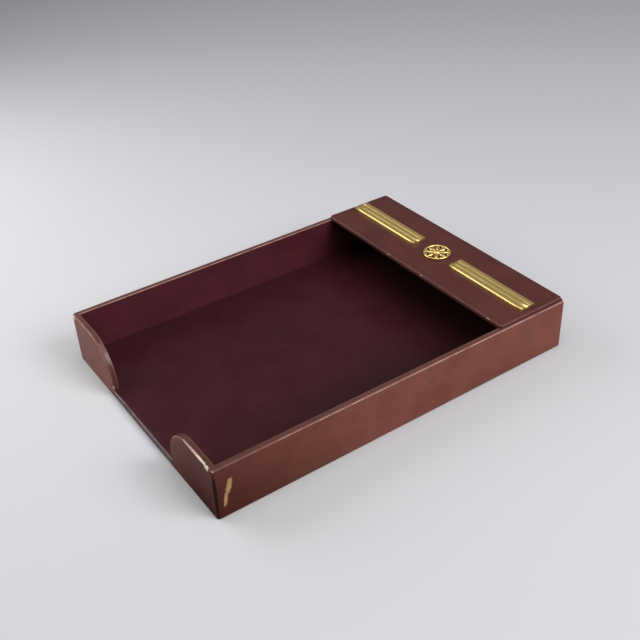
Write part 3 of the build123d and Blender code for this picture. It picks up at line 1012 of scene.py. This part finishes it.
class TRAY_OT_reeded_bars(bpy.types.Operator):
    """Both reeded brass bars, with the studs that hold them"""

    bl_idname = "tray.reeded_bars"
    bl_label = "Reeded Bars"
    bl_options = {"REGISTER", "UNDO"}

    def execute(self, context):
        sizes = context.scene.tray_sizes
        colours = context.scene.tray_colours
        material = brass_material(colours)
        section = bar_section(sizes)
        middle = (BAR_LOW[1] + BAR_HIGH[1]) / 2
        centre = Vector((0, (BAR_HIGH[2] - DECK_TOP) / 2))
        bevel = sizes.bar_bevel
        stations = [(BAR_LOW[0], bevel), (BAR_LOW[0] + bevel, 0.0)]
        stations += [(x, 0.0) for x in spread(BAR_LOW[0] + bevel, BAR_HIGH[0] - bevel, 12)[1:-1]]
        stations += [(BAR_HIGH[0] - bevel, 0.0), (BAR_HIGH[0], bevel)]
        for side, name in ((1, "right_reeded_bar"), (-1, "left_reeded_bar")):
            mesh_data = open_mesh()
            layer = mesh_data.verts.layers.float["rim"]
            rings = []
            for x, draw_in in stations:
                ring = []
                for across, height, _ in section:
                    point = Vector((across, height))
                    point += (centre - point).normalized() * draw_in
                    ring.append((side * x, middle + point.x, DECK_TOP + max(0.0, point.y)))
                rings.append(ring)
            add_rings(mesh_data, rings, [0.0] * len(rings))
            mesh_data.verts.ensure_lookup_table()
            for i, vert in enumerate(mesh_data.verts):
                vert[layer] = section[i % len(section)][2]
            for x in (BAR_LOW[0] + STUD_INSET, BAR_HIGH[0] - STUD_INSET):
                add_rod(mesh_data, side * x, middle, STUD_RADIUS, BAR_LOW[2], DECK_TOP + STUD_LAP)
            settle(finish_mesh(f"{name}_brass", mesh_data, 50), material, "polished_brass", name)
        return {"FINISHED"}


def rosette_tree():
    """Geometry nodes for an openwork rosette: a ring, beads, petals, a hub and its stud."""
    tree = bpy.data.node_groups.new("Openwork Rosette", "GeometryNodeTree")
    face = tree.interface
    face.new_socket("Geometry", in_out="INPUT", socket_type="NodeSocketGeometry")
    lengths = ["Radius", "Ring Width", "Petal Length", "Petal Width", "Petal Rise"]
    lengths += ["Hub Radius", "Hub Rise", "Stud Depth"]
    kinds = {"Centre": "Vector", "Petals": "Int", "Finish": "Material"}
    kinds.update({label: "Float" for label in lengths})
    for label, kind in kinds.items():
        face.new_socket(label, in_out="INPUT", socket_type=f"NodeSocket{kind}")
    face.new_socket("Geometry", in_out="OUTPUT", socket_type="NodeSocketGeometry")
    given = tree.nodes.new("NodeGroupInput").outputs
    result = tree.nodes.new("NodeGroupOutput").inputs["Geometry"]

    def vector(x=0.0, y=0.0, z=0.0):
        return add_node(tree, "ShaderNodeCombineXYZ", {"X": x, "Y": y, "Z": z}).outputs[0]

    def moved(geometry, shift, scale=(1, 1, 1)):
        inputs = {"Geometry": geometry, "Translation": shift, "Scale": scale}
        return add_node(tree, "GeometryNodeTransform", inputs).outputs[0]

    half_ring = maths(tree, "MULTIPLY", given["Ring Width"], 0.5)
    ring_line = maths(tree, "SUBTRACT", given["Radius"], half_ring)
    inner = maths(tree, "SUBTRACT", given["Radius"], given["Ring Width"])

    circle = "GeometryNodeCurvePrimitiveCircle"
    path = add_node(tree, circle, {"Resolution": 72, "Radius": ring_line}).outputs[0]
    wire = add_node(tree, circle, {"Resolution": 14, "Radius": half_ring}).outputs[0]
    swept = add_node(tree, "GeometryNodeCurveToMesh", {"Curve": path, "Profile Curve": wire}).outputs[0]
    ring = moved(swept, vector(z=half_ring))

    inputs = {"Segments": 16, "Rings": 12, "Radius": 1.0}
    ball = add_node(tree, "GeometryNodeMeshUVSphere", inputs).outputs["Mesh"]
    place = add_node(tree, "GeometryNodeInputPosition").outputs[0]
    parts = add_node(tree, "ShaderNodeSeparateXYZ", {0: place}).outputs
    squared = maths(tree, "POWER", parts["X"], 2.0)
    pinch = maths(tree, "SUBTRACT", 1.0, maths(tree, "MULTIPLY", squared, 0.45))
    narrowed = vector(parts["X"], maths(tree, "MULTIPLY", parts["Y"], pinch), parts["Z"])
    leaf = add_node(tree, "GeometryNodeSetPosition", {"Geometry": ball, "Position": narrowed}).outputs[0]
    half_length = maths(tree, "MULTIPLY", given["Petal Length"], 0.5)
    half_width = maths(tree, "MULTIPLY", given["Petal Width"], 0.5)
    petal = moved(leaf, vector(z=given["Petal Rise"]), vector(half_length, half_width, given["Petal Rise"]))

    petal_line = maths(tree, "MULTIPLY", maths(tree, "ADD", inner, given["Hub Radius"]), 0.5)
    step = maths(tree, "DIVIDE", 2 * pi, given["Petals"])
    index = add_node(tree, "GeometryNodeInputIndex").outputs[0]

    def wreath(instance, radius, turn):
        circle = add_node(tree, "GeometryNodeMeshCircle", {"Vertices": given["Petals"], "Radius": radius})
        inputs = {
            "Points": circle.outputs[0],
            "Instance": instance,
            "Rotation": vector(z=maths(tree, "MULTIPLY", index, step)),
        }
        spread_out = add_node(tree, "GeometryNodeInstanceOnPoints", inputs).outputs[0]
        inputs = {"Geometry": spread_out, "Rotation": vector(z=turn)}
        return add_node(tree, "GeometryNodeTransform", inputs).outputs[0]

    bead_size = maths(tree, "MULTIPLY", given["Ring Width"], 0.42)
    bead_ball = moved(ball, vector(z=bead_size), vector(bead_size, bead_size, bead_size))
    bead_line = maths(tree, "SUBTRACT", inner, maths(tree, "MULTIPLY", bead_size, 0.6))
    petals = wreath(petal, petal_line, 0.0)
    beads = wreath(bead_ball, bead_line, maths(tree, "MULTIPLY", step, 0.5))

    hub_size = vector(given["Hub Radius"], given["Hub Radius"], given["Hub Rise"])
    hub = moved(ball, (0, 0, 0), hub_size)
    button_size = maths(tree, "MULTIPLY", given["Hub Radius"], 0.42)
    button = moved(
        ball,
        vector(z=maths(tree, "MULTIPLY", given["Hub Rise"], 0.62)),
        vector(button_size, button_size, maths(tree, "MULTIPLY", given["Hub Rise"], 0.38)),
    )
    inputs = {"Vertices": 20, "Radius": STUD_RADIUS, "Depth": given["Stud Depth"]}
    stud = add_node(tree, "GeometryNodeMeshCylinder", inputs).outputs["Mesh"]
    stud = moved(stud, vector(z=maths(tree, "MULTIPLY", given["Stud Depth"], -0.5)))

    joined = tree.nodes.new("GeometryNodeJoinGeometry")
    for geometry in (ring, petals, beads, hub, button, stud):
        tree.links.new(geometry, joined.inputs[0])
    real = add_node(tree, "GeometryNodeRealizeInstances", {"Geometry": joined.outputs[0]}).outputs[0]
    inputs = {"Value": parts["Z"], "From Max": TARNISH_HEIGHT, "To Min": 0.9, "To Max": 0.0}
    low_part = add_node(tree, "ShaderNodeMapRange", inputs).outputs["Result"]
    inputs = {"Geometry": real, "Name": "rim", "Value": low_part}
    marked = add_node(tree, "GeometryNodeStoreNamedAttribute", inputs).outputs[0]
    smooth = add_node(tree, "GeometryNodeSetShadeSmooth", {"Geometry": marked}).outputs[0]
    placed = moved(smooth, given["Centre"])
    dressed = add_node(tree, "GeometryNodeSetMaterial", {"Geometry": placed, "Material": given["Finish"]})
    tree.links.new(dressed.outputs[0], result)
    return tree


class TRAY_OT_rosette(bpy.types.Operator):
    """Openwork brass rosette in the middle of the deck"""

    bl_idname = "tray.rosette"
    bl_label = "Rosette"
    bl_options = {"REGISTER", "UNDO"}

    def execute(self, context):
        sizes = context.scene.tray_sizes
        colours = context.scene.tray_colours
        radius = (ROSETTE_HIGH[0] - ROSETTE_LOW[0]) / 2
        tree = rosette_tree()
        values = {
            "Centre": (0.0, DECK_MID_Y, DECK_TOP),
            "Radius": radius,
            "Ring Width": sizes.ring_width,
            "Petals": sizes.petal_count,
            "Petal Length": sizes.petal_length,
            "Petal Width": sizes.petal_width,
            "Petal Rise": sizes.petal_rise,
            "Hub Radius": sizes.hub_radius,
            "Hub Rise": ROSETTE_HIGH[2] - DECK_TOP,
            "Stud Depth": DECK_TOP - ROSETTE_LOW[2],
            "Finish": brass_material(colours),
        }
        holder = bpy.data.objects.new("rosette_holder", bpy.data.meshes.new("rosette_holder"))
        bpy.context.scene.collection.objects.link(holder)
        modifier = holder.modifiers.new("Rosette", "NODES")
        modifier.node_group = tree
        for item in tree.interface.items_tree:
            if item.in_out == "INPUT" and item.name in values:
                modifier[item.identifier] = values[item.name]
        evaluated = holder.evaluated_get(bpy.context.evaluated_depsgraph_get())
        mesh = bpy.data.meshes.new_from_object(evaluated)
        bpy.data.objects.remove(holder)
        piece = bpy.data.objects.new("rosette_brass", mesh)
        bpy.context.scene.collection.objects.link(piece)
        settle(piece, brass_material(colours), "polished_brass", "rosette")
        return {"FINISHED"}


# Boards, pins, washers and pad

class TRAY_OT_boards_and_pins(bpy.types.Operator):
    """Finish of the boards, pins, washers and pad"""

    bl_idname = "tray.boards_and_pins"
    bl_label = "Boards and Pins"
    bl_options = {"REGISTER", "UNDO"}

    def execute(self, context):
        colours = context.scene.tray_colours
        board = fibre_material(
            "bare_fibreboard", colours.board, fibre_size=0.0009, depth=0.00006, roughness=0.85
        )
        for name in ("base", "left_side", "right_side", "back", "left_return", "right_return", "deck"):
            dress(f"{name}_board", board)
        steel = steel_material("bright_steel", colours.steel, roughness=0.25)
        for name in ("base_pins", "corner_pins", "stud_washers"):
            dress(name, steel)
        felt = fibre_material(
            "base_felt", colours.felt, fibre_size=0.0011, depth=0.00035, roughness=0.95, sheen=0.35
        )
        dress("base_pad", felt)
        return {"FINISHED"}


# Stage

SKY = {"Color": (0.90, 0.92, 0.96, 1), "Strength": 0.26}


def add_softbox(name, place, aim, size, power):
    """A square lamp that shines from its place to its aim."""
    light = bpy.data.lights.new(name, "AREA")
    light.shape, light.size, light.energy = "SQUARE", size, power
    lamp = bpy.data.objects.new(name, light)
    lamp.location = place
    lamp.rotation_euler = (Vector(aim) - Vector(place)).to_track_quat("-Z", "Y").to_euler()
    bpy.context.scene.collection.objects.link(lamp)


def add_camera():
    """The camera at the photograph's angle, which is rolled a little."""
    azimuth, elevation, roll = radians(56.842), radians(34.677), radians(-2.877)
    target, distance = Vector((-0.03946, 0.02898, 0.0)), 0.8943
    back = Vector((sin(azimuth) * cos(elevation), -cos(azimuth) * cos(elevation), sin(elevation)))
    right = (-back).cross(Vector((0, 0, 1))).normalized()
    up = right.cross(-back)
    tilted_right = right * cos(roll) + up * sin(roll)
    tilted_up = up * cos(roll) - right * sin(roll)
    lens = bpy.data.cameras.new("camera")
    lens.sensor_width, lens.lens = 36.0, 53.52
    camera = bpy.data.objects.new("camera", lens)
    turn = Matrix((tilted_right, tilted_up, back)).transposed().to_4x4()
    camera.matrix_world = Matrix.Translation(target + back * distance) @ turn
    bpy.context.scene.collection.objects.link(camera)
    bpy.context.scene.camera = camera


class TRAY_OT_stage(bpy.types.Operator):
    """Pale floor, soft lamps and the camera of the photograph"""

    bl_idname = "tray.stage"
    bl_label = "Stage"
    bl_options = {"REGISTER", "UNDO"}

    def execute(self, context):
        colours = context.scene.tray_colours
        scene = context.scene
        mesh_data = bmesh.new()
        bmesh.ops.create_grid(mesh_data, x_segments=2, y_segments=2, size=6.0)
        floor_mesh = bpy.data.meshes.new("studio_floor")
        mesh_data.to_mesh(floor_mesh)
        mesh_data.free()
        floor = bpy.data.objects.new("studio_floor", floor_mesh)
        floor.data.materials.append(paper_material(colours.stage))
        scene.collection.objects.link(floor)

        world = bpy.data.worlds.new("studio")
        world.use_nodes = True
        set_inputs(world.node_tree, world.node_tree.nodes["Background"], SKY)
        scene.world = world
        add_softbox("back_right_softbox", (1.16, 0.57, 1.13), (0.0, 0.03, 0.0), size=1.00, power=23.0)
        add_softbox("front_left_softbox", (-0.58, -0.48, 0.46), (-0.05, -0.1, 0.0), size=0.70, power=5.0)
        add_softbox("overhead_softbox", (0.25, -0.15, 1.5), (0, 0, 0), size=1.0, power=9.0)
        add_camera()
        scene.view_settings.view_transform = "Standard"
        return {"FINISHED"}


# Panel, registering and building

OPERATORS = (
    TRAY_OT_stage,
    TRAY_OT_side_leathers,
    TRAY_OT_back_leather,
    TRAY_OT_return_leathers,
    TRAY_OT_wall_linings,
    TRAY_OT_floor_leather,
    TRAY_OT_deck_leather,
    TRAY_OT_reeded_bars,
    TRAY_OT_rosette,
    TRAY_OT_boards_and_pins,
)


class TRAY_PT_build(bpy.types.Panel):
    """Buttons for each group of pieces, and their sizes and colours"""

    bl_label = "Desk Tray"
    bl_idname = "TRAY_PT_build"
    bl_space_type = "VIEW_3D"
    bl_region_type = "UI"
    bl_category = "Desk Tray"

    def draw(self, context):
        for operator in OPERATORS:
            self.layout.operator(operator.bl_idname)
        for settings in (context.scene.tray_sizes, context.scene.tray_colours):
            box = self.layout.box()
            for key in settings.bl_rna.properties.keys():
                if key not in ("rna_type", "name"):
                    box.prop(settings, key)


CLASSES = (TraySizes, TrayColours, *OPERATORS, TRAY_PT_build)


def register():
    """Registers the tray's classes and its settings on each scene."""
    for cls in CLASSES:
        bpy.utils.register_class(cls)
    bpy.types.Scene.tray_sizes = PointerProperty(type=TraySizes)
    bpy.types.Scene.tray_colours = PointerProperty(type=TrayColours)


def unregister():
    """Takes the settings and classes away again."""
    del bpy.types.Scene.tray_colours
    del bpy.types.Scene.tray_sizes
    for cls in reversed(CLASSES):
        bpy.utils.unregister_class(cls)


def main():
    """Builds the tray and its stage."""
    register()
    for operator in OPERATORS:
        group, action = operator.bl_idname.split(".")
        getattr(getattr(bpy.ops, group), action)()


if __name__ == "__main__":
    main()
